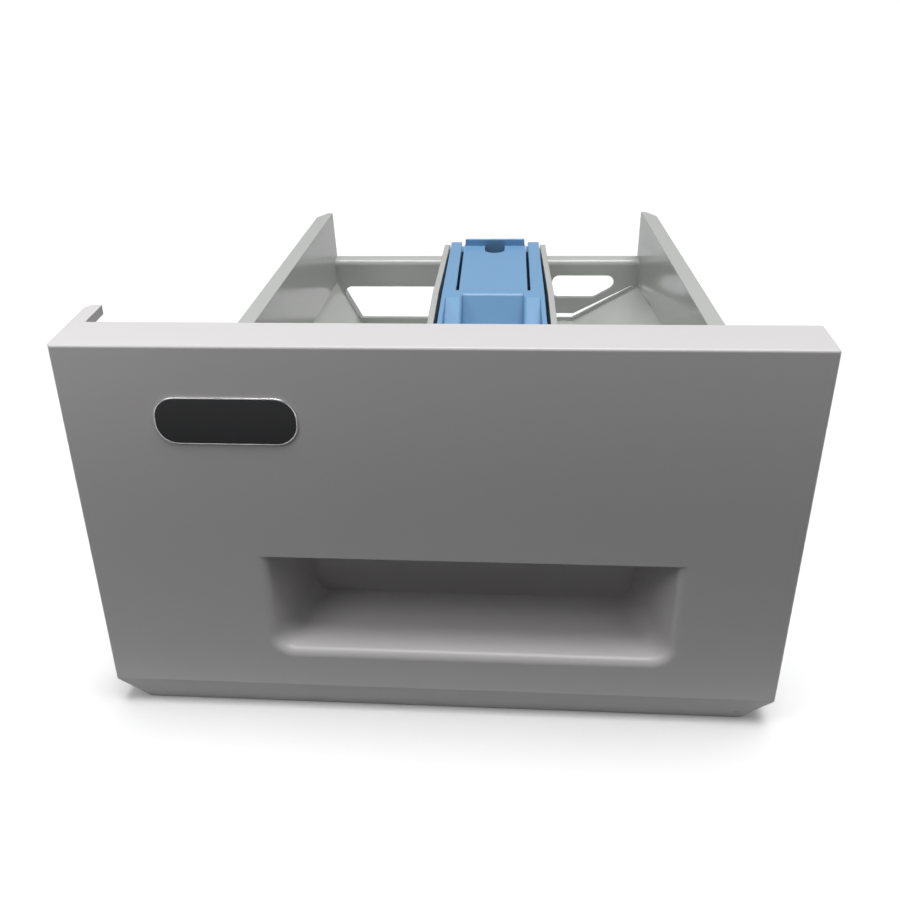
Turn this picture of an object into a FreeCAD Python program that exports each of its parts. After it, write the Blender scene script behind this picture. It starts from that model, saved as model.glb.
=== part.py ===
import FreeCAD, Part
import os
import re

import Sketcher
from FreeCAD import Vector

# Detergent dispenser drawer of a front-loading washing machine.
# Local axes: X to the right, Y from the panel's face to the rear, Z up from the panel's lower edge.
# Every piece is then moved by the same placement, so that the origin is under the middle of the box.

SIZES = [
    ("panel_width", 200.0, "front panel, side to side"),
    ("panel_height", 120.6, "front panel, lower edge to top"),
    ("panel_wall", 2.5, "wall of the front panel"),
    ("flange_depth", 16.6, "depth of the panel's turned-back edges"),
    ("bevel_height", 9.6, "sloped strip along the panel's lower edge"),
    ("bevel_depth", 3.5, "how far that strip falls back"),
    ("corner_cut", 8.4, "width of the cut lower corners"),
    ("edge_round", 0.8, "rounding of the panel's outer edges"),
    ("tab_reach", 30.0, "rear end of the tab at the panel's upper left corner"),
    ("tab_width", 4.4, "width of that tab"),
    ("tab_thick", 2.7, "thickness of that tab"),
    ("side_shift", 9.9, "tray and handle lie this far right of the panel's middle"),
    ("recess_width", 116.8, "handle recess, side to side"),
    ("recess_height", 33.6, "handle recess, lower edge to lip"),
    ("recess_low", 22.6, "lower edge of the handle recess above the panel's lower edge"),
    ("recess_depth", 24.0, "depth of the handle recess"),
    ("recess_rise", 5.5, "how far the recess floor climbs to the back"),
    ("recess_draft", 21.0, "lean of the recess sides, degrees"),
    ("recess_corner", 5.5, "lower corners of the recess"),
    ("recess_edge", 2.8, "rounding of the recess mouth"),
    ("recess_shell", 1.8, "wall behind the recess"),
    ("lip_rise", 3.6, "finger room above the lip, behind it"),
    ("boss_span", 162.0, "screw bosses, side to side"),
    ("boss_pitch", 24.0, "screw bosses, one above the other"),
    ("boss_drop", 21.0, "middle of the screw bosses below the rim"),
    ("boss_radius", 3.5, "screw boss"),
    ("pilot_radius", 1.25, "hole in a boss"),
    ("pilot_depth", 11.0, "depth of the hole in a boss"),
    ("badge_width", 38.0, "blank badge"),
    ("badge_height", 13.0, "blank badge"),
    ("badge_round", 5.6, "corners of the blank badge"),
    ("badge_thick", 1.1, "blank badge"),
    ("badge_seat", 0.6, "how deep the badge sits in the panel"),
    ("badge_side", 45.0, "panel's left edge to the middle of the badge"),
    ("badge_drop", 21.3, "badge below the panel's top"),
    ("fit_gap", 0.3, "clearance between pieces that fit together"),
    ("drawer_depth", 187.0, "panel face to the rear of the side walls"),
    ("plate_thick", 2.5, "front plate of the tray"),
    ("ear_margin", 5.0, "front plate beyond the screws"),
    ("front_width", 153.4, "tray over its rims, at the front"),
    ("rear_width", 137.8, "tray over its rims, at the rear"),
    ("rim_drop", 16.3, "rims below the panel's top"),
    ("rim_width", 5.2, "rim, wall included"),
    ("rim_thick", 2.2, "rim"),
    ("rim_lead", 6.4, "length of the cut at a rim's rear end"),
    ("tray_wall", 2.0, "walls and floor of the tray"),
    ("front_deep", 38.3, "rim to floor at the front"),
    ("rear_deep", 54.3, "rim to floor at the rear"),
    ("left_break", 27.8, "rim to the crease in the left wall"),
    ("left_slope", 62.0, "left wall below its crease, degrees"),
    ("left_lean", 1.4, "how far the left wall leans in from rim to crease"),
    ("right_break", 30.4, "rim to the crease in the right wall, at the rear"),
    ("right_climb", 15.0, "how much higher that crease lies at the front"),
    ("right_slope", 30.0, "right floor, degrees"),
    ("right_flat", 13.0, "level strip of the right floor, beside the softener chamber"),
    ("bar_inset", 6.0, "front face of the rear wall before the tray's end"),
    ("bar_drop", 18.4, "rear wall below the rims"),
    ("bar_round", 2.4, "upper front edge of the rear wall"),
    ("window_round", 3.0, "corners of the windows"),
    ("left_window_edge", 51.2, "left window's upper left corner, left of the panel's middle"),
    ("left_window_gap", 2.3, "left window to the softener chamber"),
    ("left_window_drop", 11.4, "rear wall's top to the left window"),
    ("left_window_height", 14.2, "left window"),
    ("right_window_gap", 3.5, "softener chamber to the right window"),
    ("right_window_width", 25.6, "right window"),
    ("right_window_drop", 6.5, "rear wall's top to the right window"),
    ("right_window_height", 9.7, "right window"),
    ("right_window_cut", 8.0, "width of its cut corner"),
    ("drain_gap", 3.0, "drain slot over the right floor"),
    ("drain_tip", 1.7, "height of that slot at its upper end"),
    ("drain_sill", 0.4, "floor to the drain slots"),
    ("left_drain_height", 4.0, "drain slot over the left floor"),
    ("left_drain_width", 24.0, "drain slot over the left floor"),
    ("soft_shift", 14.3, "softener chamber right of the panel's middle"),
    ("soft_wall", 2.1, "walls of the softener chamber"),
    ("soft_wall_rear", 2.0, "walls of the softener chamber, at the rear"),
    ("soft_bend", 66.0, "length of the stretch in which they thin and close in"),
    ("soft_taper", 1.4, "how far each wall closes in there"),
    ("soft_drop", 11.8, "top of its walls below the rims"),
    ("soft_round", 7.0, "rounding at the rear end of its walls"),
    ("ledge_width", 2.6, "ledges that carry the cap"),
    ("ledge_length", 40.0, "ledges that carry the cap"),
    ("ledge_thick", 2.0, "ledges that carry the cap"),
    ("cap_deep", 22.0, "cap, top to skirt"),
    ("cap_drop", 0.5, "cap top below the chamber walls"),
    ("cap_width", 37.4, "cap, side to side"),
    ("cap_taper", 0.6, "how far each side of the cap closes in to the rear"),
    ("cap_wall", 1.6, "wall of the cap"),
    ("cap_side_gap", 1.2, "cap to chamber walls"),
    ("cap_overhang", 0.5, "cap's rear edge before the tray's end"),
    ("chute_width", 22.0, "pouring chute in the cap's front part"),
    ("chute_run", 15.6, "length of the chute's slope"),
    ("chute_round", 2.0, "upper edge of the chute"),
    ("chute_side_round", 1.4, "edges of the shoulders along the chute"),
    ("chute_land", 3.4, "tongue's root to the chute"),
    ("shoulder_start", 4.3, "chute's upper edge to the start of the shoulders beside it"),
    ("shoulder_run", 28.0, "length of the shoulders"),
    ("shoulder_fall", 12.0, "fall of the shoulders to the cap's front"),
    ("tongue_width", 25.2, "release tongue"),
    ("tongue_length", 57.0, "release tongue"),
    ("tongue_thick", 1.8, "release tongue"),
    ("tongue_end", 3.6, "tongue's tip before the cap's rear edge"),
    ("tongue_room", 7.0, "room under the tongue's tip"),
    ("root_gap", 0.1, "clearance at the tongue's root"),
    ("slot_width", 1.1, "slots beside the tongue"),
    ("catch_width", 24.2, "lip at the tongue's tip"),
    ("catch_height", 2.5, "lip over the tongue"),
    ("catch_depth", 1.2, "lip under the tongue"),
    ("catch_thick", 1.6, "lip at the tongue's tip"),
    ("notch_radius", 4.0, "half-round notch before the lip"),
    ("notch_length", 9.7, "half-round notch before the lip"),
    ("bell_radius", 7.0, "siphon bell under the cap, outside"),
    ("bell_wall", 1.4, "siphon bell"),
    ("bell_gap", 3.5, "siphon bell over the floor"),
    ("siphon_behind", 11.0, "siphon behind the foot of the chute"),
    ("pipe_radius", 4.0, "standpipe, outside"),
    ("pipe_bore", 2.8, "standpipe, bore radius"),
    ("pipe_height", 16.0, "standpipe over the floor"),
    ("spout_length", 5.0, "outlet under the floor"),
    ("screw_radius", 1.2, "panel screw"),
    ("screw_length", 11.0, "panel screw under its head"),
    ("screw_tip", 2.0, "point of the screw"),
    ("head_radius", 3.2, "screw head"),
    ("head_height", 2.2, "screw head"),
    ("ear_hole", 1.7, "screw hole in the tray"),
]
NAMES = {name for name, size, note in SIZES}

doc = FreeCAD.newDocument("dispenser_drawer")
dims = doc.addObject("Spreadsheet::Sheet", "Dims")
for row, (name, size, note) in enumerate(SIZES, start=1):
    dims.set(f"A{row}", name)
    dims.set(f"B{row}", str(size))
    dims.setAlias(f"B{row}", name)
    dims.set(f"C{row}", note)
doc.recompute()


def bound(text):
    """The expression with every size name pointed at its cell."""
    return re.sub(r"[a-z_]+", lambda word: "Dims." + word[0] if word[0] in NAMES else word[0], str(text))


def value(text):
    """What the expression comes to now."""
    return float(dims.evalExpression(bound(text)))


# Levels and places that several pieces share.
FACE_REAR = "panel_wall"
TRAY_FRONT = "(flange_depth + fit_gap)"
PLATE_REAR = f"({TRAY_FRONT} + plate_thick)"
TRAY_REAR = "drawer_depth"
BAR_FRONT = "(drawer_depth - bar_inset)"
RIM_TOP = "(panel_height - rim_drop)"
BAR_TOP = f"({RIM_TOP} - bar_drop)"
SOFT_TOP = f"({RIM_TOP} - soft_drop)"
CAP_TOP = f"({SOFT_TOP} - cap_drop)"
CAP_LOW = f"({CAP_TOP} - cap_deep)"
CAP_REAR = "(drawer_depth - cap_overhang)"
CAP_HALF = "(cap_width / 2)"
TONGUE_REAR = f"({CAP_REAR} - tongue_end)"
TONGUE_ROOT = f"({TONGUE_REAR} - tongue_length)"
CHUTE_TOP = f"({TONGUE_ROOT} - chute_land)"
CHUTE_FOOT = f"({CHUTE_TOP} - chute_run)"
SHOULDER = f"({CHUTE_TOP} - shoulder_start)"
CAP_FRONT = f"({SHOULDER} - shoulder_run)"
SIPHON = f"({CHUTE_FOOT} + siphon_behind)"
CHAMBER_HALF = f"({CAP_HALF} + cap_side_gap)"
SOFT_KNEE = "(drawer_depth - soft_bend)"
BADGE_PROUD = "(badge_thick - badge_seat)"
SHIFT_BACK = f"-(drawer_depth - {BADGE_PROUD}) / 2"
ABOVE = "60"


def along(front, rear, place):
    """A size that changes evenly from the tray's front to its rear, at one place between."""
    return f"({front} + ({rear} - {front}) * ({place} - {TRAY_FRONT}) / ({TRAY_REAR} - {TRAY_FRONT}))"


def half_inside(place):
    """Half the tray's width between its side walls."""
    return f"({along('front_width', 'rear_width', place)} / 2 - rim_width)"


def floor_level(place):
    return f"({RIM_TOP} - {along('front_deep', 'rear_deep', place)})"


def right_crease(place):
    return f"({RIM_TOP} - right_break + right_climb - {along('0', 'right_climb', place)})"


def past_knee(place):
    """How much of the chamber's tapering stretch lies before a place, from 0 to 1."""
    return f"max(0; ({place} - {SOFT_KNEE}) / soft_bend)"


def chamber_half(place):
    """Half the softener chamber's inside width, which closes in towards the rear."""
    return f"({CHAMBER_HALF} - soft_taper * {past_knee(place)})"


def soft_half(place):
    """Half the softener chamber's outside width, whose walls thin towards the rear."""
    return f"({chamber_half(place)} + soft_wall - (soft_wall - soft_wall_rear) * {past_knee(place)})"


def right_floor(place, across):
    """Height of the sloped right floor at a distance across the drawer."""
    wall = f"(side_shift + {half_inside(place)})"
    return f"({right_crease(place)} - ({wall} - {across}) * tan(right_slope * 1 deg))"


def new_form(label):
    """A body in the local axes, to be joined to a piece or cut out of one."""
    body = doc.addObject("PartDesign::Body", label)
    body.Label = label
    return body


def new_body(label):
    """A piece of the drawer, in its place."""
    body = new_form(label)
    body.setExpression("Placement.Base.y", bound(SHIFT_BACK))
    return body


def new_sketch(body, name, role, lift):
    """A sketch on one of the body's own planes, lifted along that plane's normal."""
    sketch = body.newObject("Sketcher::SketchObject", name)
    plane = next(item for item in body.Origin.OriginFeatures if item.Role == role)
    sketch.AttachmentSupport = [(plane, "")]
    sketch.MapMode = "FlatFace"
    sketch.setExpression("AttachmentOffset.Base.z", bound(lift))
    return sketch


def pin_point(sketch, geometry, end, across, up):
    """Holds one point of a sketch at a place given by two expressions."""
    for kind, text in (("DistanceX", across), ("DistanceY", up)):
        index = sketch.addConstraint(Sketcher.Constraint(kind, -1, 1, geometry, end, value(text)))
        sketch.setExpression(f"Constraints[{index}]", bound(text))


def outline(sketch, corners):
    """A closed straight-sided outline through corners given as pairs of expressions."""
    points = [Vector(value(across), value(up), 0) for across, up in corners]
    first = sketch.GeometryCount
    count = len(points)
    for i in range(count):
        sketch.addGeometry(Part.LineSegment(points[i], points[(i + 1) % count]), False)
    for i in range(count):
        sketch.addConstraint(Sketcher.Constraint("Coincident", first + i, 2, first + (i + 1) % count, 1))
    for i, (across, up) in enumerate(corners):
        pin_point(sketch, first + i, 1, across, up)
    return sketch


def disc(sketch, across, up, radius):
    circle = Part.Circle(Vector(value(across), value(up), 0), Vector(0, 0, 1), value(radius))
    index = sketch.addGeometry(circle, False)
    pin_point(sketch, index, 3, across, up)
    size = sketch.addConstraint(Sketcher.Constraint("Radius", index, value(radius)))
    sketch.setExpression(f"Constraints[{size}]", bound(radius))
    return sketch


def front_sketch(body, name, place, corners):
    """An outline seen from the front, at a distance behind the panel's face."""
    return outline(new_sketch(body, name, "XZ_Plane", f"-({place})"), corners)


def plan_sketch(body, name, level, corners):
    return outline(new_sketch(body, name, "XY_Plane", level), corners)


def side_sketch(body, name, place, corners):
    return outline(new_sketch(body, name, "YZ_Plane", place), corners)


def extrude(body, kind, sketch, length, backwards=False, both_ways=False):
    feature = body.newObject(kind, sketch.Name + "_form")
    feature.Profile = sketch
    feature.Type = "Length"
    feature.setExpression("Length", bound(length))
    feature.Reversed = backwards
    if both_ways:
        feature.SideType = "Symmetric"
    before = body.Tip
    doc.recompute()
    sketch.Visibility = False
    return check_change(feature, before)


def check_change(feature, before):
    """A feature that adds or cuts nothing points the wrong way."""
    old = 0.0 if before is None or before is feature else before.Shape.Volume
    if feature.Shape.isNull() or abs(feature.Shape.Volume - old) < 1e-3:
        raise RuntimeError(f"{feature.Name} changes nothing")
    return feature


def pad_back(body, sketch, length):
    """Adds material from a front outline towards the rear."""
    return extrude(body, "PartDesign::Pad", sketch, length, backwards=True)


def cut_back(body, sketch, length):
    """Cuts from a front outline towards the rear."""
    return extrude(body, "PartDesign::Pocket", sketch, length)


def pad_up(body, sketch, length):
    return extrude(body, "PartDesign::Pad", sketch, length)


def cut_up(body, sketch, length):
    return extrude(body, "PartDesign::Pocket", sketch, length, backwards=True)


def cut_across(body, sketch, width):
    return extrude(body, "PartDesign::Pocket", sketch, width, both_ways=True)


def pad_across(body, sketch, width):
    return extrude(body, "PartDesign::Pad", sketch, width, both_ways=True)


def loft(body, kind, name, sections):
    """A straight-sided loft through sketches from front to rear."""
    feature = body.newObject(kind, name)
    before = body.Tip
    feature.Profile = sections[0]
    feature.Sections = sections[1:]
    feature.Ruled = True
    doc.recompute()
    return check_change(feature, before)


def combine(body, other, kind):
    """Joins another body to this one or cuts it out."""
    feature = body.newObject("PartDesign::Boolean", f"{other.Name}_{kind}")
    before = body.Tip
    feature.setObjects([other])
    feature.Type = kind
    doc.recompute()
    return check_change(feature, before)


def round_edges(body, name, radius, chosen):
    """Rounds the edges of the body that a test picks by their two ends and middle."""
    base = body.Tip
    names = []
    for index, edge in enumerate(base.Shape.Edges, start=1):
        middle = edge.valueAt((edge.FirstParameter + edge.LastParameter) / 2)
        if chosen(edge, middle):
            names.append(f"Edge{index}")
    feature = body.newObject("PartDesign::Fillet", name)
    feature.Base = (base, names)
    feature.setExpression("Radius", bound(radius))
    doc.recompute()
    return check_change(feature, base)


def near(a, b, slack=0.02):
    return abs(a - b) < slack


def runs_along(edge, axis):
    """Whether an edge leads along one axis from end to end."""
    start = edge.valueAt(edge.FirstParameter)
    step = edge.valueAt(edge.LastParameter) - start
    return step.Length > 1e-6 and abs(step.normalize().dot(axis)) > 0.9999


X_AXIS, Y_AXIS, Z_AXIS = Vector(1, 0, 0), Vector(0, 1, 0), Vector(0, 0, 1)


def recess_form(label, grow):
    """The handle recess as a solid: sides closing in to the back, a rising floor and a lip at the mouth."""
    body = new_form(label)
    lean = "tan(recess_draft * 1 deg)"
    half = f"(recess_width / 2 + {grow} / cos(recess_draft * 1 deg))"
    deep = f"(recess_depth + {grow})"
    narrow = f"({half} - {deep} * {lean})"
    low = f"(recess_low - {grow})"
    lip = "(recess_low + recess_height)"
    roof = f"({lip} + lip_rise + {grow})"
    past = "panel_wall"
    plan = plan_sketch(body, label + "_plan", low, [
        (f"side_shift - {half}", "0"), (f"side_shift + {half}", "0"),
        (f"side_shift + {narrow}", deep), (f"side_shift - {narrow}", deep)])
    pad_up(body, plan, f"{roof} - {low}")
    floor = side_sketch(body, label + "_floor", "side_shift", [
        ("0", low), ("0", f"{low} - {past}"), (f"{deep} + {past}", f"{low} - {past}"),
        (f"{deep} + {past}", f"{low} + recess_rise * ({deep} + {past}) / {deep}")])
    cut_across(body, floor, "recess_width * 2")
    deep_now, middle_now = value(deep), value("recess_low + recess_height / 2")
    round_edges(body, label + "_corners", f"recess_corner + {grow}", lambda edge, middle: (
        edge.BoundBox.YLength > deep_now / 2 and middle.z < middle_now))
    mouth = side_sketch(body, label + "_lip", "side_shift", [
        (f"-{past}", lip), (FACE_REAR, lip),
        (FACE_REAR, f"{roof} + {past}"), (f"-{past}", f"{roof} + {past}")])
    cut_across(body, mouth, "recess_width * 2")
    return body


def boss_places():
    """The four screw places as pairs of expressions."""
    for side in ("-", "+"):
        for level in ("-", "+"):
            yield (f"(side_shift {side} boss_span / 2)",
                   f"({RIM_TOP} - boss_drop {level} boss_pitch / 2)")


def panel_outline(inset):
    """The panel's outline with its two cut lower corners, moved inwards by an inset."""
    half = f"(panel_width / 2 - {inset})"
    foot = f"(panel_width / 2 - corner_cut - {inset} * 0.5)"
    return [(f"-{foot}", inset), (foot, inset), (half, f"bevel_height + {inset} * 0.4"),
            (half, f"panel_height - {inset}"), (f"-{half}", f"panel_height - {inset}"),
            (f"-{half}", f"bevel_height + {inset} * 0.4")]


def make_front_panel():
    shell = recess_form("recess_back", "recess_shell")
    space = recess_form("recess_room", "0")
    body = new_body("front_panel")
    face = front_sketch(body, "panel_face", "0", panel_outline("0"))
    pad_back(body, face, "flange_depth")
    hollow = front_sketch(body, "panel_hollow", "panel_wall", panel_outline("panel_wall"))
    cut_back(body, hollow, "flange_depth")
    heel = side_sketch(body, "bevel_backing", "0", [
        ("panel_wall / 2", "panel_wall / 2"), ("panel_wall + bevel_depth", "panel_wall / 2"),
        ("panel_wall + bevel_depth", "panel_wall"), ("panel_wall", "panel_wall + bevel_height"),
        ("panel_wall / 2", "panel_wall + bevel_height")])
    pad_across(body, heel, "panel_width - 2 * corner_cut - 2 * panel_wall")
    bevel = side_sketch(body, "bevel_strip", "0", [
        ("-1", "-1"), ("bevel_depth + bevel_depth / bevel_height", "-1"),
        ("0", "bevel_height"), ("-1", "bevel_height")])
    cut_across(body, bevel, "panel_width * 1.2")
    tab = plan_sketch(body, "corner_tab", "panel_height - tab_thick", [
        ("-panel_width / 2", "flange_depth - 1"), ("-panel_width / 2 + tab_width", "flange_depth - 1"),
        ("-panel_width / 2 + tab_width", "tab_reach"), ("-panel_width / 2 + tab_width / 3", "tab_reach"),
        ("-panel_width / 2", "tab_reach - tab_width / 2")])
    pad_up(body, tab, "tab_thick")
    for index, (across, up) in enumerate(boss_places()):
        post = disc(new_sketch(body, f"boss_{index}", "XZ_Plane", "-panel_wall / 2"), across, up, "boss_radius")
        pad_back(body, post, f"{TRAY_FRONT} - panel_wall / 2")
    combine(body, shell, "Fuse")
    combine(body, space, "Cut")
    for index, (across, up) in enumerate(boss_places()):
        hole = disc(new_sketch(body, f"pilot_{index}", "XZ_Plane", f"-({TRAY_FRONT} - pilot_depth)"),
                    across, up, "pilot_radius")
        cut_back(body, hole, "pilot_depth + 1")
    seat = front_sketch(body, "badge_seat_outline", "-1", badge_outline("fit_gap / 2"))
    cut_back(body, seat, "badge_seat + 1")
    round_badge(body, "badge_seat_corners", "fit_gap / 2")
    half = value("panel_width / 2")
    top = value("panel_height")
    crease = value("bevel_height")

    def outer_edge(edge, middle):
        box = edge.BoundBox
        on_face = near(box.YMin, 0) and near(box.YMax, 0)
        beside = near(abs(middle.x), half) or near(middle.z, top)
        right_shoulder = runs_along(edge, Y_AXIS) and near(middle.x, half) and near(middle.z, top)
        return (on_face and beside) or right_shoulder

    round_edges(body, "panel_edges", "edge_round", outer_edge)
    low = value("recess_low")
    lip = value("recess_low + recess_height")

    def mouth_edge(edge, middle):
        box = edge.BoundBox
        on_face = near(box.YMin, 0) and near(box.YMax, 0)
        inside = abs(middle.x - value("side_shift")) < value("recess_width") / 2 + 1
        return on_face and inside and crease < middle.z < lip - 0.1 and middle.z > low - 0.1

    round_edges(body, "recess_mouth_edges", "recess_edge", mouth_edge)
    return body


def badge_outline(grow):
    """The plain badge's outline before its corners are rounded."""
    half = f"(badge_width / 2 + {grow})"
    tall = f"(badge_height / 2 + {grow})"
    level = "(panel_height - badge_drop)"
    middle = "(badge_side - panel_width / 2)"
    return [(f"{middle} - {half}", f"{level} - {tall}"), (f"{middle} + {half}", f"{level} - {tall}"),
            (f"{middle} + {half}", f"{level} + {tall}"), (f"{middle} - {half}", f"{level} + {tall}")]


def round_badge(body, name, grow):
    """Rounds the corners of the badge, or of the seat it lies in."""
    places = [(value(across), value(up)) for across, up in badge_outline(grow)]
    round_edges(body, name, f"badge_round + {grow}", lambda edge, middle: (
        runs_along(edge, Y_AXIS) and any(near(middle.x, x) and near(middle.z, z) for x, z in places)))


def make_badge():
    body = new_body("blank_badge")
    face = front_sketch(body, "badge_face", f"-{BADGE_PROUD}", badge_outline("0"))
    pad_back(body, face, "badge_thick")
    round_badge(body, "badge_corners", "0")
    return body


def tray_section(body, name, place, thick, top):
    """The tray's cross-section, grown outwards by a wall: left wall and slope, floor, right wall."""
    inside = half_inside(place)
    level = floor_level(place)
    crease_left = f"({RIM_TOP} - left_break)"
    crease_right = right_crease(place)
    step = f"(soft_shift + {soft_half(place)})"
    strip = f"({step} + right_flat)"
    under = f"({right_floor(place, strip)} - {thick} / cos(right_slope * 1 deg))"
    run = f"(({crease_left} - {level}) / tan(left_slope * 1 deg))"
    left = f"side_shift - {inside} + left_lean"
    right = f"side_shift + {inside}"
    return front_sketch(body, name, place, [
        (f"{left} - left_lean * ({top} - {crease_left}) / left_break - {thick}", top),
        (f"{left} - {thick}", f"{crease_left} - {thick} * tan((90 - left_slope) / 2 * 1 deg)"),
        (f"{left} + {run} - {thick} * tan(left_slope / 2 * 1 deg)", f"{level} - {thick}"),
        (step, f"{level} - {thick}"),
        (step, under), (strip, under),
        (f"{right} + {thick}", f"{crease_right} - {thick} * tan((90 - right_slope) / 2 * 1 deg)"),
        (f"{right} + {thick}", top)])


def left_space(body, name, place):
    inside = half_inside(place)
    level = floor_level(place)
    crease = f"({RIM_TOP} - left_break)"
    run = f"(({crease} - {level}) / tan(left_slope * 1 deg))"
    wall = f"soft_shift - {soft_half(place)}"
    foot = f"side_shift - {inside} + left_lean"
    return front_sketch(body, name, place, [
        (f"side_shift - {inside} - left_lean / left_break", f"{RIM_TOP} + 1"), (foot, crease),
        (f"{foot} + {run}", level), (wall, level), (wall, f"{RIM_TOP} + 1")])


def middle_space(body, name, place):
    level = floor_level(place)
    half = chamber_half(place)
    return front_sketch(body, name, place, [
        (f"soft_shift - {half}", f"{RIM_TOP} + 1"), (f"soft_shift - {half}", level),
        (f"soft_shift + {half}", level), (f"soft_shift + {half}", f"{RIM_TOP} + 1")])


def right_space(body, name, place):
    inside = half_inside(place)
    wall = f"(soft_shift + {soft_half(place)})"
    strip = f"({wall} + right_flat)"
    return front_sketch(body, name, place, [
        (wall, f"{RIM_TOP} + 1"), (wall, right_floor(place, strip)), (strip, right_floor(place, strip)),
        (f"side_shift + {inside}", right_crease(place)), (f"side_shift + {inside}", f"{RIM_TOP} + 1")])


def rim_plan(body, name, sign):
    """One rim from above: the turned-out edge of a side wall, cut at an angle at its rear end."""
    def at(place, inset):
        return f"side_shift {sign} ({half_inside(place)} + {inset})"
    lead = f"({TRAY_REAR} - rim_lead)"
    return plan_sketch(body, name, f"{RIM_TOP} - rim_thick", [
        (at(TRAY_FRONT, "tray_wall / 2"), TRAY_FRONT), (at(TRAY_FRONT, "rim_width"), TRAY_FRONT),
        (at(lead, "rim_width"), lead), (at(TRAY_REAR, "tray_wall * 0.9"), TRAY_REAR),
        (at(TRAY_REAR, "tray_wall / 2"), TRAY_REAR)])


def make_drawer_tray():
    body = new_body("drawer_tray")
    places = (("front", TRAY_FRONT), ("knee", SOFT_KNEE), ("rear", TRAY_REAR))
    loft(body, "PartDesign::AdditiveLoft", "tray_block", [
        tray_section(body, f"tray_{name}", place, "tray_wall", RIM_TOP) for name, place in places])
    for label, space in (("left", left_space), ("middle", middle_space), ("right", right_space)):
        loft(body, "PartDesign::SubtractiveLoft", f"{label}_compartment", [
            space(body, f"{label}_{name}", place) for name, place in places])
    reach = f"({CHAMBER_HALF} + soft_wall + 1)"
    lower = plan_sketch(body, "chamber_walls_top", SOFT_TOP, [
        (f"soft_shift - {reach}", f"{TRAY_FRONT} - 1"), (f"soft_shift + {reach}", f"{TRAY_FRONT} - 1"),
        (f"soft_shift + {reach}", f"{TRAY_REAR} + 1"), (f"soft_shift - {reach}", f"{TRAY_REAR} + 1")])
    cut_up(body, lower, ABOVE)
    rear = value(TRAY_REAR)
    soft_top = value(SOFT_TOP)
    round_edges(body, "chamber_wall_ends", "soft_round", lambda edge, middle: (
        runs_along(edge, X_AXIS) and near(middle.y, rear) and near(middle.z, soft_top)))
    for side, sign in (("left", "-"), ("right", "+")):
        pad_up(body, rim_plan(body, f"{side}_rim", sign), "rim_thick")
    make_front_plate(body)
    make_rear_wall(body)
    make_siphon_pipe(body)
    make_ledges(body)
    return body


def make_front_plate(body):
    """The plate that closes the compartments and carries the screws in its two ears."""
    ear = "(boss_span / 2 + ear_margin)"
    level = f"({floor_level(TRAY_FRONT)} - tray_wall)"
    plate = front_sketch(body, "front_plate", TRAY_FRONT, [
        (f"side_shift - {ear}", level), (f"side_shift + {ear}", level),
        (f"side_shift + {ear}", RIM_TOP), (f"side_shift - {ear}", RIM_TOP)])
    pad_back(body, plate, "plate_thick")
    for index, (across, up) in enumerate(boss_places()):
        hole = disc(new_sketch(body, f"ear_hole_{index}", "XZ_Plane", f"-({TRAY_FRONT} - 1)"),
                    across, up, "ear_hole")
        cut_back(body, hole, "plate_thick + 2")


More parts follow.
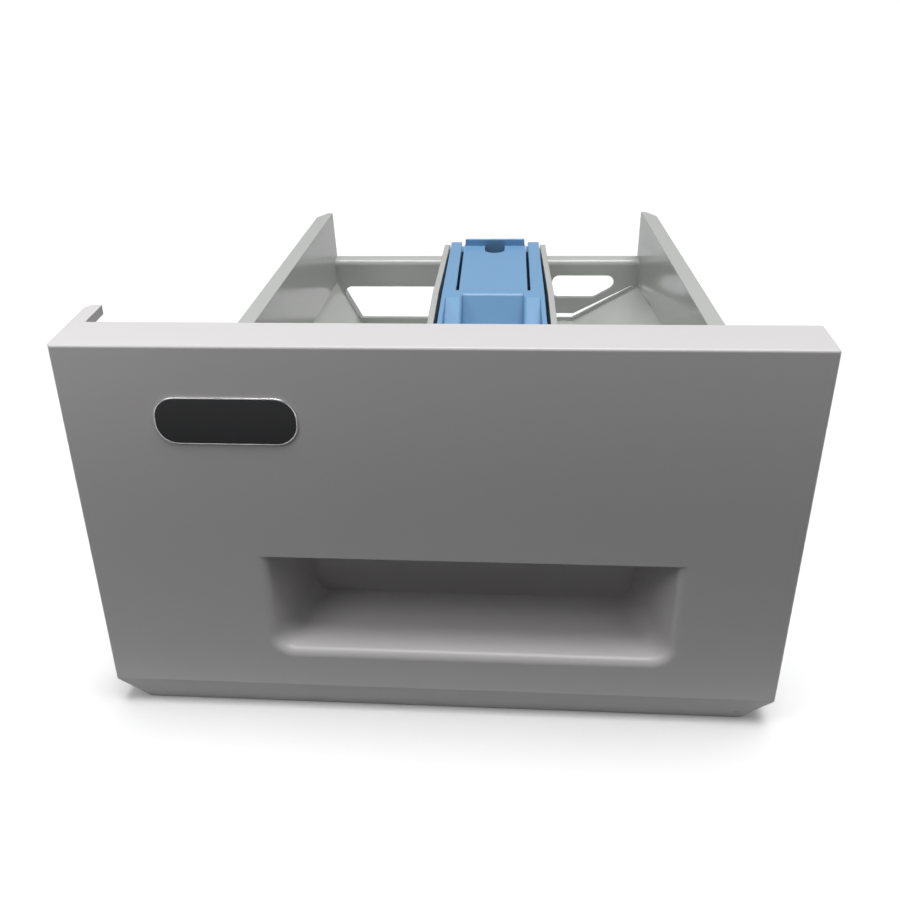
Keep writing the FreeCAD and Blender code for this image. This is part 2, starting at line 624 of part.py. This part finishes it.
def make_rear_wall(body):
    """The low rear wall with its turned-back top edge, two windows and two drain slots."""
    wall = tray_section(body, "rear_wall", BAR_FRONT, "tray_wall / 2", BAR_TOP)
    pad_back(body, wall, "tray_wall")
    reach = f"({half_inside(TRAY_REAR)} + tray_wall / 4)"
    edge = plan_sketch(body, "rear_edge", f"{BAR_TOP} - rim_thick", [
        (f"side_shift - {reach}", BAR_FRONT), (f"side_shift + {reach}", BAR_FRONT),
        (f"side_shift + {reach}", TRAY_REAR), (f"side_shift - {reach}", TRAY_REAR)])
    pad_up(body, edge, "rim_thick")
    front, back = value(BAR_FRONT), value(f"{BAR_FRONT} + tray_wall")
    bar_top = value(BAR_TOP)
    round_edges(body, "rear_wall_edge", "bar_round", lambda side, middle: (
        runs_along(side, X_AXIS) and near(middle.y, front) and near(middle.z, bar_top)))
    before = f"{BAR_FRONT} - 1"
    through = "tray_wall + 2"
    top = f"({BAR_TOP} - left_window_drop)"
    low = f"({top} - left_window_height)"
    inner = f"(soft_shift - {soft_half(BAR_FRONT)} - left_window_gap)"
    slant = "left_window_height / tan(left_slope * 1 deg)"
    left = [("-left_window_edge", top), (f"-left_window_edge + {slant}", low), (inner, low), (inner, top)]
    cut_back(body, front_sketch(body, "left_window", before, left), through)
    upper = f"({BAR_TOP} - right_window_drop)"
    lower = f"({upper} - right_window_height)"
    start = f"(soft_shift + {soft_half(BAR_FRONT)} + right_window_gap)"
    end = f"({start} + right_window_width)"
    rise = "right_window_cut * tan(right_slope * 1 deg)"
    right = [(start, upper), (start, lower), (f"{end} - right_window_cut", lower),
             (end, f"{lower} + {rise}"), (end, upper)]
    cut_back(body, front_sketch(body, "right_window", before, right), through)
    corners = [(value(across), value(up)) for across, up in left + right]
    round_edges(body, "window_corners", "window_round", lambda side, middle: (
        runs_along(side, Y_AXIS) and front - 0.1 < middle.y < back + 0.1
        and any(near(middle.x, x) and near(middle.z, z) for x, z in corners)))
    slot_low = f"({start} - right_window_gap / 2)"
    slot_bend = f"(soft_shift + {soft_half(BAR_FRONT)} + right_flat)"
    slot_high = f"(side_shift + {half_inside(BAR_FRONT)} - tray_wall)"
    level_sill = f"({right_floor(BAR_FRONT, slot_bend)} + drain_sill)"
    high_sill = f"({right_floor(BAR_FRONT, slot_high)} + drain_sill)"
    drain = [(slot_low, level_sill), (slot_bend, level_sill), (slot_high, high_sill),
             (slot_high, f"{high_sill} + drain_tip"), (slot_bend, f"{level_sill} + drain_gap"),
             (slot_low, f"{level_sill} + drain_gap")]
    cut_back(body, front_sketch(body, "right_drain", before, drain), through)
    sill = f"({floor_level(BAR_FRONT)} + drain_sill)"
    drain_left = f"({inner} - left_drain_width)"
    slot = [(drain_left, sill), (inner, sill), (inner, f"{sill} + left_drain_height"),
            (drain_left, f"{sill} + left_drain_height")]
    cut_back(body, front_sketch(body, "left_drain", before, slot), through)


def make_siphon_pipe(body):
    """The standpipe in the softener chamber and its outlet under the floor."""
    under = f"({floor_level(SIPHON)} - tray_wall - spout_length)"
    pipe = disc(new_sketch(body, "standpipe", "XY_Plane", under), "soft_shift", SIPHON, "pipe_radius")
    pad_up(body, pipe, "spout_length + tray_wall + pipe_height")
    hole = new_sketch(body, "standpipe_bore", "XY_Plane", f"{under} - 1")
    bore = disc(hole, "soft_shift", SIPHON, "pipe_bore")
    cut_up(body, bore, "spout_length + tray_wall + pipe_height + 2")


def make_ledges(body):
    """Two ledges along the chamber's walls, under the cap's skirts."""
    for side, sign in (("left", "-"), ("right", "+")):
        outer = f"({CHAMBER_HALF} + soft_wall / 2)"
        inner = f"({CHAMBER_HALF} - ledge_width)"
        rear = f"({CHUTE_FOOT} + ledge_length)"
        ledge = plan_sketch(body, f"{side}_ledge", f"{CAP_LOW} - ledge_thick", [
            (f"soft_shift {sign} {outer}", CHUTE_FOOT), (f"soft_shift {sign} {inner}", CHUTE_FOOT),
            (f"soft_shift {sign} {inner}", rear), (f"soft_shift {sign} {outer}", rear)])
        pad_up(body, ledge, "ledge_thick")


def make_softener_cap():
    """The cap: top plate and skirts, sloped shoulders at the front with a pouring chute between them."""
    bell = make_siphon_bell()
    body = new_body("softener_cap")
    narrow = f"({CAP_HALF} - cap_taper)"
    top = plan_sketch(body, "cap_plan", CAP_LOW, [
        (f"soft_shift - {CAP_HALF}", CAP_FRONT), (f"soft_shift + {CAP_HALF}", CAP_FRONT),
        (f"soft_shift + {CAP_HALF}", SOFT_KNEE), (f"soft_shift + {narrow}", CAP_REAR),
        (f"soft_shift - {narrow}", CAP_REAR), (f"soft_shift - {CAP_HALF}", SOFT_KNEE)])
    pad_up(body, top, "cap_deep")
    past = "cap_wall"
    inside = f"(2 * ({CAP_HALF} - cap_wall))"
    fall = "(shoulder_fall / shoulder_run)"
    shoulders = side_sketch(body, "shoulder_slope", "soft_shift", [
        (SHOULDER, CAP_TOP), (f"{CAP_FRONT} - {past}", f"{CAP_TOP} - shoulder_fall - {past} * {fall}"),
        (f"{CAP_FRONT} - {past}", f"{CAP_TOP} + {past}"), (SHOULDER, f"{CAP_TOP} + {past}")])
    cut_across(body, shoulders, inside)
    skirt_rear = f"({BAR_FRONT} - fit_gap)"
    over_bar = f"({BAR_TOP} + fit_gap)"
    rear_room = side_sketch(body, "cap_over_rear_wall", "soft_shift", [
        (skirt_rear, f"{CAP_LOW} - {past}"), (f"{CAP_REAR} + {past}", f"{CAP_LOW} - {past}"),
        (f"{CAP_REAR} + {past}", over_bar), (skirt_rear, over_bar)])
    cut_across(body, rear_room, "cap_width * 2")
    inner_rear = f"({skirt_rear} - cap_wall)"
    inner_front = f"({CAP_FRONT} + cap_wall)"
    hollow = side_sketch(body, "cap_hollow", "soft_shift", [
        (inner_rear, f"{CAP_LOW} - {past}"), (inner_rear, f"{CAP_TOP} - cap_wall"),
        (SHOULDER, f"{CAP_TOP} - cap_wall"),
        (inner_front, f"{CAP_TOP} - shoulder_fall + cap_wall * {fall} - cap_wall"),
        (inner_front, f"{CAP_LOW} - {past}")])
    cut_across(body, hollow, inside)
    plate = "(cap_wall * 1.2)"
    chute_block = side_sketch(body, "chute_block", "soft_shift", [
        (f"{CHUTE_TOP} + {plate}", CAP_TOP), (SHOULDER, CAP_TOP), (CAP_FRONT, f"{CAP_TOP} - shoulder_fall"),
        (CAP_FRONT, CAP_LOW), (f"{CHUTE_FOOT} + {plate}", CAP_LOW)])
    pad_across(body, chute_block, "chute_width + 2 * cap_wall")
    chute = side_sketch(body, "chute", "soft_shift", [
        (CHUTE_TOP, f"{CAP_TOP} + {past}"), (CHUTE_TOP, CAP_TOP), (CHUTE_FOOT, CAP_LOW),
        (CHUTE_FOOT, f"{CAP_LOW} - {past}"), (f"{CAP_FRONT} - {past}", f"{CAP_LOW} - {past}"),
        (f"{CAP_FRONT} - {past}", f"{CAP_TOP} + {past}")])
    cut_across(body, chute, "chute_width")
    top_now, brow_now = value(CAP_TOP), value(CHUTE_TOP)
    round_edges(body, "chute_edge", "chute_round", lambda edge, middle: (
        runs_along(edge, X_AXIS) and near(middle.z, top_now) and near(middle.y, brow_now)))
    slope = Vector(0, value("shoulder_run"), value("shoulder_fall")).normalize()
    side_now, middle_now = value("chute_width / 2"), value("soft_shift")
    level_now = value(f"{CAP_TOP} - shoulder_fall / 2")
    round_edges(body, "chute_side_edges", "chute_side_round", lambda edge, middle: (
        runs_along(edge, slope) and near(abs(middle.x - middle_now), side_now) and near(middle.z, level_now)))
    combine(body, bell, "Fuse")
    cuts = (("tongue_slots", "(tongue_width / 2 + slot_width)", "tongue_thick"),
            ("tongue_travel", "(tongue_width / 2 + fit_gap)", "tongue_room"))
    for name, half, depth in cuts:
        root = f"({TONGUE_ROOT} - root_gap)"
        gap = plan_sketch(body, name, f"{CAP_TOP} - {depth}", [
            (f"soft_shift - {half}", root), (f"soft_shift + {half}", root),
            (f"soft_shift + {half}", f"{CAP_REAR} + {past}"), (f"soft_shift - {half}", f"{CAP_REAR} + {past}")])
        cut_up(body, gap, f"{depth} + {past}")
    return body


def make_siphon_bell():
    """The tube under the cap that goes over the standpipe, closed at its top by the chute."""
    body = new_form("siphon_bell")
    low = f"({floor_level(SIPHON)} + bell_gap)"
    ring = new_sketch(body, "bell_ring", "XY_Plane", low)
    disc(ring, "soft_shift", SIPHON, "bell_radius")
    disc(ring, "soft_shift", SIPHON, "bell_radius - bell_wall")
    pad_up(body, ring, f"{CAP_TOP} - cap_wall / 2 - {low}")
    past = "(bell_radius * 2)"
    top = side_sketch(body, "bell_top", "soft_shift", [
        (CHUTE_TOP, f"{CAP_TOP} - cap_wall"),
        (f"{CHUTE_TOP} - {past}", f"{CAP_TOP} - cap_wall - {past} * cap_deep / chute_run"),
        (f"{CHUTE_TOP} - {past}", f"{CAP_TOP} + cap_wall"), (CHUTE_TOP, f"{CAP_TOP} + cap_wall")])
    cut_across(body, top, "cap_width")
    return body


def make_release_tongue():
    """The press tongue between the two slots, with a lip and a half-round notch at its free end."""
    body = new_body("release_tongue")
    half = "(tongue_width / 2)"
    plate = plan_sketch(body, "tongue_plan", f"{CAP_TOP} - tongue_thick", [
        (f"soft_shift - {half}", TONGUE_ROOT), (f"soft_shift + {half}", TONGUE_ROOT),
        (f"soft_shift + {half}", TONGUE_REAR), (f"soft_shift - {half}", TONGUE_REAR)])
    pad_up(body, plate, "tongue_thick")
    lip_front = f"({TONGUE_REAR} - catch_thick)"
    lip = plan_sketch(body, "tongue_lip", f"{CAP_TOP} - tongue_thick - catch_depth", [
        ("soft_shift - catch_width / 2", lip_front), ("soft_shift + catch_width / 2", lip_front),
        ("soft_shift + catch_width / 2", TONGUE_REAR), ("soft_shift - catch_width / 2", TONGUE_REAR)])
    pad_up(body, lip, "catch_depth + tongue_thick + catch_height")
    notch = new_sketch(body, "tongue_notch", "XY_Plane", f"{CAP_TOP} - tongue_thick - catch_depth")
    end = f"({lip_front} - notch_length + notch_radius)"
    sides = [Vector(value(f"soft_shift {sign} notch_radius"), value(place), 0)
             for sign, place in (("-", lip_front), ("-", end), ("+", end), ("+", lip_front))]
    tip = Vector(value("soft_shift"), value(f"{end} - notch_radius"), 0)
    notch.addGeometry(Part.LineSegment(sides[0], sides[1]), False)
    notch.addGeometry(Part.Arc(sides[1], tip, sides[2]), False)
    notch.addGeometry(Part.LineSegment(sides[2], sides[3]), False)
    notch.addGeometry(Part.LineSegment(sides[3], sides[0]), False)
    notch.addConstraint(Sketcher.Constraint("Tangent", 0, 2, 1, 1))
    notch.addConstraint(Sketcher.Constraint("Tangent", 1, 2, 2, 1))
    notch.addConstraint(Sketcher.Constraint("Coincident", 2, 2, 3, 1))
    notch.addConstraint(Sketcher.Constraint("Coincident", 3, 2, 0, 1))
    pin_point(notch, 0, 1, "soft_shift - notch_radius", lip_front)
    pin_point(notch, 2, 2, "soft_shift + notch_radius", lip_front)
    pin_point(notch, 1, 3, "soft_shift", end)
    cut_up(body, notch, "catch_depth + tongue_thick + catch_height")
    return body


def make_panel_screws():
    """Four pan-head screws through the tray's ears into the panel's bosses."""
    screws = []
    for index, (across, up) in enumerate(boss_places()):
        head = doc.addObject("Part::Cylinder", f"screw_head_{index}")
        head.setExpression("Radius", bound("head_radius"))
        head.setExpression("Height", bound("head_height"))
        shank = doc.addObject("Part::Cylinder", f"screw_shank_{index}")
        shank.setExpression("Radius", bound("screw_radius"))
        shank.setExpression("Height", bound("screw_length - screw_tip"))
        point = doc.addObject("Part::Cone", f"screw_point_{index}")
        point.setExpression("Radius1", bound("screw_radius"))
        point.setExpression("Radius2", bound("screw_radius / 4"))
        point.setExpression("Height", bound("screw_tip"))
        starts = ((head, PLATE_REAR, -90), (shank, PLATE_REAR, 90),
                  (point, f"({PLATE_REAR} - screw_length + screw_tip)", 90))
        for piece, place, turn in starts:
            piece.Placement = FreeCAD.Placement(Vector(), FreeCAD.Rotation(X_AXIS, turn))
            piece.setExpression("Placement.Base.x", bound(across))
            piece.setExpression("Placement.Base.y", bound(f"{place} {SHIFT_BACK}"))
            piece.setExpression("Placement.Base.z", bound(up))
        screw = doc.addObject("Part::MultiFuse", f"screw_{index}")
        screw.Shapes = [head, shank, point]
        screws.append(screw)
    group = doc.addObject("Part::Compound", "panel_screws")
    group.Label = "panel_screws"
    group.Links = screws
    doc.recompute()
    return group


def write_parts(pieces):
    """Stops if anything failed, then writes each piece under its own name."""
    doc.recompute()
    for item in doc.Objects:
        if {"Invalid", "Error"} & set(item.State):
            raise RuntimeError(f"{item.Name} failed: {item.State}")
    for piece in pieces:
        if piece.Shape.isNull() or not piece.Shape.isValid():
            raise RuntimeError(f"{piece.Label} has no valid shape")
    os.makedirs("parts", exist_ok=True)
    for piece in pieces:
        piece.Shape.exportStep(f"parts/{piece.Label}.step")
        box = piece.Shape.BoundBox
        print(f"{piece.Label}: {len(piece.Shape.Solids)} solid, {piece.Shape.Volume:.0f} mm3, "
              f"X {box.XMin:.1f} {box.XMax:.1f} Y {box.YMin:.1f} {box.YMax:.1f} Z {box.ZMin:.1f} {box.ZMax:.1f}")


write_parts([make_front_panel(), make_badge(), make_drawer_tray(), make_softener_cap(),
             make_release_tongue(), make_panel_screws()])
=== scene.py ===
import math
import bpy
from mathutils import Matrix, Vector


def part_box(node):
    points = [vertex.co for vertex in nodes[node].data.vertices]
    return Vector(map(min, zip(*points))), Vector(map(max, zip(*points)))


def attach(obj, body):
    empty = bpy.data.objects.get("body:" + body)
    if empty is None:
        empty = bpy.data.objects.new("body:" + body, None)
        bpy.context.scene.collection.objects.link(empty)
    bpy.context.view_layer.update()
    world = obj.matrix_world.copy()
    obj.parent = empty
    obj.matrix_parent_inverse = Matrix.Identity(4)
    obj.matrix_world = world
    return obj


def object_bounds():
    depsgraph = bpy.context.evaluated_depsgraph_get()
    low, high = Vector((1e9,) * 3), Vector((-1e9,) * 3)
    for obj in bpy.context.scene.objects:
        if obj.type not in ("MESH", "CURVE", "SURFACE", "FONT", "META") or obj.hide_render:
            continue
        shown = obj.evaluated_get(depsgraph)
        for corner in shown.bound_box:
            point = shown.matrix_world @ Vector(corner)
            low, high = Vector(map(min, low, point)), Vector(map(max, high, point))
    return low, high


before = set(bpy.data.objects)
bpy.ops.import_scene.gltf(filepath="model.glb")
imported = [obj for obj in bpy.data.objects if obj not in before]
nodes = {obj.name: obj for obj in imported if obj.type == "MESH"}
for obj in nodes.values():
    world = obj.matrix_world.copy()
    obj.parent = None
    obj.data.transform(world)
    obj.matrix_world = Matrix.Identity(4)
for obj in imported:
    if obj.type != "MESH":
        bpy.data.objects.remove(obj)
cad_low, cad_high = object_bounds()
scene = bpy.context.scene
MM = 0.001
WHITE = (1, 1, 1, 1)


# Node helpers

def wire(tree, source, target):
    tree.links.new(source, target)


def feed(tree, given, socket):
    """Sets a socket to a number, or links it to another socket."""
    if isinstance(given, (int, float)):
        socket.default_value = given
    else:
        wire(tree, given, socket)


def add_node(tree, kind, **settings):
    node = tree.nodes.new(kind)
    for key, setting in settings.items():
        setattr(node, key, setting)
    return node


def math_node(tree, operation, first, second):
    """A maths node; each input is a socket or a number."""
    node = add_node(tree, "ShaderNodeMath", operation=operation)
    for socket, given in zip(node.inputs, (first, second)):
        feed(tree, given, socket)
    return node.outputs[0]


def map_range(tree, source, ends, values, curve="LINEAR"):
    """A value carried from between two ends to between two values."""
    node = add_node(tree, "ShaderNodeMapRange", interpolation_type=curve)
    names = ("From Min", "From Max", "To Min", "To Max")
    for name, number in zip(names, (*ends, *values)):
        node.inputs[name].default_value = number
    wire(tree, source, node.inputs["Value"])
    return node.outputs["Result"]


def noise(tree, coords, scale, detail=2.0):
    node = add_node(tree, "ShaderNodeTexNoise")
    node.inputs["Scale"].default_value = scale
    node.inputs["Detail"].default_value = detail
    wire(tree, coords, node.inputs["Vector"])
    return node.outputs["Fac"]


def grey_mix(tree, factor, first, second):
    """A grey level changing to another with the factor; each is a socket or a number."""
    node = add_node(tree, "ShaderNodeMix", data_type="FLOAT")
    feed(tree, first, node.inputs["A"])
    feed(tree, second, node.inputs["B"])
    wire(tree, factor, node.inputs["Factor"])
    return node.outputs["Result"]


def tinted(tree, factor, colour, change):
    """The colour, a little darker and lighter with the factor."""
    node = add_node(tree, "ShaderNodeMix", data_type="RGBA")
    node.inputs["A"].default_value = [c * (1 - change) for c in colour] + [1]
    node.inputs["B"].default_value = [min(1.0, c * (1 + change)) for c in colour] + [1]
    wire(tree, factor, node.inputs["Factor"])
    return node.outputs["Result"]


# Materials

DRIFT_SCALE = 14.0
SHEEN_SCALE = 60.0
SHEEN_DETAIL = 3.0
NOISE_MIDDLE = (0.3, 0.7)
GRAIN_HEIGHT = 0.2 * MM
EDGE_SAMPLES = 6


def moulded(name, colour, rough, rough_change, grain, grain_depth, edge,
            change=0.03, specular=0.5):
    """Moulded plastic: slight colour drift, uneven sheen, fine grain, softly rounded edges."""
    material = bpy.data.materials.new(name)
    material.use_nodes = True
    tree = material.node_tree
    shader = tree.nodes["Principled BSDF"]
    coords = add_node(tree, "ShaderNodeTexCoord").outputs["Object"]
    drift = noise(tree, coords, DRIFT_SCALE)
    wire(tree, tinted(tree, drift, colour, change), shader.inputs["Base Color"])
    sheen = map_range(tree, noise(tree, coords, SHEEN_SCALE, SHEEN_DETAIL), NOISE_MIDDLE,
                      (rough - rough_change, rough + rough_change))
    wire(tree, sheen, shader.inputs["Roughness"])
    shader.inputs["Specular IOR Level"].default_value = specular
    bevel = add_node(tree, "ShaderNodeBevel", samples=EDGE_SAMPLES)
    bevel.inputs["Radius"].default_value = edge
    bump = add_node(tree, "ShaderNodeBump")
    bump.inputs["Strength"].default_value = grain_depth
    bump.inputs["Distance"].default_value = GRAIN_HEIGHT
    wire(tree, noise(tree, coords, grain), bump.inputs["Height"])
    wire(tree, bevel.outputs["Normal"], bump.inputs["Normal"])
    wire(tree, bump.outputs["Normal"], shader.inputs["Normal"])
    return material


def metal(name, colour, rough):
    material = moulded(name, colour, rough, rough_change=0.06, grain=2200.0, grain_depth=0.12,
                       edge=0.2 * MM)
    material.node_tree.nodes["Principled BSDF"].inputs["Metallic"].default_value = 1.0
    return material


PANEL = moulded("panel_plastic", (0.715, 0.700, 0.706), rough=0.33, rough_change=0.02,
                grain=900.0, grain_depth=0.02, edge=0.25 * MM, change=0.012)
TRAY = moulded("tray_plastic", (0.530, 0.540, 0.525), rough=0.16, rough_change=0.02,
               grain=1400.0, grain_depth=0.02, edge=0.4 * MM, change=0.015)
BLUE = moulded("cap_plastic", (0.190, 0.390, 0.640), rough=0.33, rough_change=0.04,
               grain=1600.0, grain_depth=0.04, edge=0.4 * MM, change=0.02)
BADGE = moulded("badge_plastic", (0.030, 0.031, 0.034), rough=0.22, rough_change=0.03,
                grain=700.0, grain_depth=0.03, edge=0.5 * MM, specular=0.35)
BRIGHT = metal("badge_rim_metal", (0.78, 0.78, 0.79), rough=0.18)
STEEL = metal("screw_steel", (0.60, 0.60, 0.58), rough=0.35)

FINISH = {
    "front_panel": PANEL, "blank_badge": BADGE, "drawer_tray": TRAY,
    "softener_cap": BLUE, "release_tongue": BLUE, "panel_screws": STEEL,
}
for node_name, material in FINISH.items():
    mesh = nodes[node_name].data
    mesh.materials.clear()
    mesh.materials.append(material)


# Badge rim

def rounded_loop(low, high, radius, steps=8):
    """Points round an upright rectangle with rounded corners."""
    points = []
    corners = ((high.x - radius, high.z - radius, 0), (low.x + radius, high.z - radius, 90),
               (low.x + radius, low.z + radius, 180), (high.x - radius, low.z + radius, 270))
    for x, z, start in corners:
        for i in range(steps + 1):
            angle = math.radians(start + 90 * i / steps)
            points.append((x + radius * math.cos(angle), z + radius * math.sin(angle)))
    return points


def badge_rim():
    """A thin bright bead round the badge, seated on the panel and no prouder than the badge."""
    low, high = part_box("blank_badge")
    tube = 0.26 * MM
    outset = Vector((0.12 * MM, 0, 0.12 * MM))
    corner = 5.72 * MM
    curve = bpy.data.curves.new("badge_rim", "CURVE")
    curve.dimensions = "3D"
    curve.bevel_depth = tube
    curve.bevel_resolution = 3
    spline = curve.splines.new("POLY")
    loop = rounded_loop(low - outset, high + outset, corner)
    spline.points.add(len(loop) - 1)
    for point, (x, z) in zip(spline.points, loop):
        point.co = (x, low.y + tube, z, 1)
    spline.use_cyclic_u = True
    rim = bpy.data.objects.new("badge_rim", curve)
    scene.collection.objects.link(rim)
    curve.materials.append(BRIGHT)
    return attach(rim, "drawer")


badge_rim()


# Floor

FLOOR_SIZE = 30.0
FLOOR_GAP = 0.4 * MM
FLOOR_SEEN = 0.95
FLOOR_GLOW = 0.05


def before_panel(tree, ends, values):
    """A level on the floor that changes between two distances before the panel."""
    place = add_node(tree, "ShaderNodeSeparateXYZ")
    wire(tree, add_node(tree, "ShaderNodeNewGeometry").outputs["Position"], place.inputs[0])
    lines = [cad_low.y - distance for distance in ends]
    return map_range(tree, place.outputs["Y"], lines, values, "SMOOTHSTEP")


def floor_material():
    """Pale floor, white to the camera and greyer for the light that it throws back.

    Reflections show it white close to the panel and far before it, and grey between:
    painted reflections. The light that it throws back is painted brighter close to the panel,
    a painted pool of bounce light.
    """
    material = bpy.data.materials.new("pale_floor")
    material.use_nodes = True
    tree = material.node_tree
    shader = tree.nodes["Principled BSDF"]
    shader.inputs["Roughness"].default_value = 0.9
    shader.inputs["Specular IOR Level"].default_value = 0.0
    path = add_node(tree, "ShaderNodeLightPath")
    # Painted reflections: in glossy rays the floor is white near the panel and far before it, grey
    # between.
    near = before_panel(tree, ends=(0.13, 0.03), values=(0.0, 0.55))
    far = before_panel(tree, ends=(0.30, 0.12), values=(1.0, 0.0))
    painted_reflection_bands = math_node(tree, "MAXIMUM", near, far)
    mirrored = math_node(tree, "MULTIPLY", path.outputs["Is Glossy Ray"], painted_reflection_bands)
    seen = math_node(tree, "MAXIMUM", path.outputs["Is Camera Ray"], mirrored)
    # Painted bounce light: the floor throws back much more light within a few centimetres of the
    # panel than further out.
    thrown = before_panel(tree, ends=(0.030, 0.010), values=(0.02, 0.42))
    wire(tree, grey_mix(tree, seen, thrown, FLOOR_SEEN), shader.inputs["Base Color"])
    shader.inputs["Emission Color"].default_value = WHITE
    # The glow makes the floor white to the camera and also brightens the painted reflection bands.
    glow = math_node(tree, "MULTIPLY", seen, FLOOR_GLOW)
    wire(tree, glow, shader.inputs["Emission Strength"])
    return material


bpy.ops.mesh.primitive_plane_add(size=FLOOR_SIZE, location=(0, 0, cad_low.z - FLOOR_GAP))
floor = bpy.context.object
floor.name = "floor"
floor.data.materials.append(floor_material())


# Light

def studio_world():
    """Soft surroundings, bright overhead and behind, dim in front; white to the camera."""
    slope, base = 0.50, 0.12
    world = bpy.data.worlds.new("studio")
    scene.world = world
    world.use_nodes = True
    tree = world.node_tree
    background = tree.nodes["Background"]
    parts = add_node(tree, "ShaderNodeSeparateXYZ")
    wire(tree, add_node(tree, "ShaderNodeTexCoord").outputs["Generated"], parts.inputs[0])
    height = math_node(tree, "MULTIPLY", parts.outputs["Z"], slope)
    behind = math_node(tree, "MULTIPLY", parts.outputs["Y"], slope)
    level = math_node(tree, "ADD", math_node(tree, "ADD", height, behind), base)
    ramp = add_node(tree, "ShaderNodeValToRGB")
    dim, bright = ramp.color_ramp.elements
    dim.position, dim.color = 0.0, (0.05, 0.05, 0.05, 1)
    bright.position, bright.color = 0.8, (0.60, 0.60, 0.61, 1)
    wire(tree, level, ramp.inputs["Fac"])
    wire(tree, ramp.outputs["Color"], background.inputs["Color"])
    background.inputs["Strength"].default_value = 0.62
    backdrop = add_node(tree, "ShaderNodeBackground")
    backdrop.inputs["Color"].default_value = WHITE
    either = add_node(tree, "ShaderNodeMixShader")
    wire(tree, add_node(tree, "ShaderNodeLightPath").outputs["Is Camera Ray"], either.inputs[0])
    wire(tree, background.outputs[0], either.inputs[1])
    wire(tree, backdrop.outputs[0], either.inputs[2])
    wire(tree, either.outputs[0], tree.nodes["World Output"].inputs["Surface"])


def place_lamp(lamp, direction):
    """Puts a lamp into the scene, turned in a direction."""
    holder = bpy.data.objects.new(lamp.name, lamp)
    scene.collection.objects.link(holder)
    holder.rotation_euler = Vector(direction).to_track_quat("-Z", "Y").to_euler()
    return holder


def sun(name, direction, strength, angle):
    lamp = bpy.data.lights.new(name, "SUN")
    lamp.energy = strength
    lamp.angle = math.radians(angle)
    place_lamp(lamp, direction)


def soft_box(name, place, aim, size, power):
    """A square lamp turned to a point of the object."""
    lamp = bpy.data.lights.new(name, "AREA")
    lamp.energy = power
    lamp.shape = "SQUARE"
    lamp.size = size
    place_lamp(lamp, Vector(aim) - Vector(place)).location = place


studio_world()
sun("overhead", direction=(-0.07, 0.03, -1.0), strength=2.48, angle=36.0)
soft_box("edge", place=(0.19, -0.20, 0.24), aim=(0.10, -0.09, 0.11), size=0.10, power=0.04)
soft_box("key", place=(-0.17, -0.20, 0.24), aim=(-0.09, -0.09, 0.11), size=0.10, power=0.06)
soft_box("fill", place=(-0.34, -0.34, 0.46), aim=(0.0, -0.09, 0.06), size=0.25, power=0.38)


# Camera

CAMERA_PLACE_MM = (17.21, -335.32, 219.43)
CAMERA_ANGLES = (29.395, 5.737, -1.772)


def place_camera():
    """The photograph's viewpoint: above the panel, looking down into the tray, slightly turned."""
    pitch, yaw, roll = (math.radians(angle) for angle in CAMERA_ANGLES)
    side = Vector((math.cos(yaw), math.sin(yaw), 0))
    ahead = Vector((-math.sin(yaw), math.cos(yaw), 0))
    up_axis = Vector((0, 0, 1))
    forward = math.cos(pitch) * ahead - math.sin(pitch) * up_axis
    upright = math.sin(pitch) * ahead + math.cos(pitch) * up_axis
    right = math.cos(roll) * side + math.sin(roll) * upright
    up = -math.sin(roll) * side + math.cos(roll) * upright
    data = bpy.data.cameras.new("camera")
    data.sensor_width = 36.0
    data.lens = 41.45
    data.shift_x = 0.0478
    data.shift_y = 0.0331
    data.clip_start = 0.01
    data.clip_end = 60.0
    camera = bpy.data.objects.new("camera", data)
    scene.collection.objects.link(camera)
    turn = Matrix((right, up, -forward)).transposed().to_4x4()
    camera.matrix_world = Matrix.Translation(Vector(CAMERA_PLACE_MM) * MM) @ turn
    scene.camera = camera


place_camera()
scene.view_settings.view_transform = "Standard"
